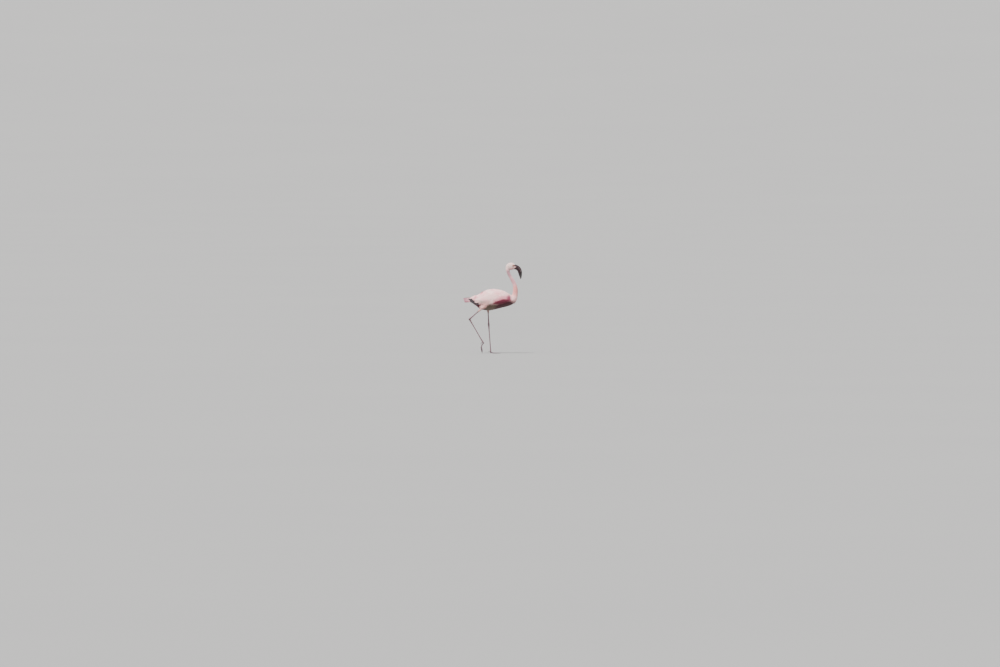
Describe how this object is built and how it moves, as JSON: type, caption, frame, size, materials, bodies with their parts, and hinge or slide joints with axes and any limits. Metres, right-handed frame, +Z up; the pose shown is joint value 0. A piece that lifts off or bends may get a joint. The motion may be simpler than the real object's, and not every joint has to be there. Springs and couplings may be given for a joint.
{
  "type": "lesser flamingo",
  "caption": "Life-size lesser flamingo walking, one leg planted and the other trailing with its claw tip on the ground.",
  "frame": {"origin": "on the ground, under the middle of the model's box", "axes": "+X towards the bird's front, +Y to its left, +Z up"},
  "size_m": [0.5006, 0.1664, 0.7822],
  "materials": {
    "plumage": "soft matte feathers, pale pink with rose and crimson",
    "skin": "matte skin under the feathers",
    "flight_feathers": "black vanes with a slight sheen",
    "bill": "dark maroon horn, semi-gloss",
    "legs": "scaly skin, dull rose",
    "claws": "dark horn",
    "eyes": "wet gloss"
  },
  "bodies": {
    "root": {"trunk": "plumage", "tail": "plumage", "wing_left": "plumage", "wing_right": "plumage", "neck_lower": "plumage", "neck_middle": "plumage", "neck_upper": "plumage", "head": "plumage", "thigh_left": "plumage", "thigh_right": "plumage", "flight_feathers_left": "flight_feathers", "flight_feathers_right": "flight_feathers", "bill_upper": "bill", "bill_lower": "bill", "eye_left": "eyes", "eye_right": "eyes", "shin_left": "legs", "tarsus_left": "legs", "foot_left": "legs", "claw_left_inner": "claws", "claw_left_middle": "claws", "claw_left_outer": "claws", "claw_left_hind": "claws", "shin_right": "legs", "tarsus_right": "legs", "foot_right": "legs", "claw_right_inner": "claws", "claw_right_middle": "claws", "claw_right_outer": "claws", "claw_right_hind": "claws"}
  },
  "joints": []
}
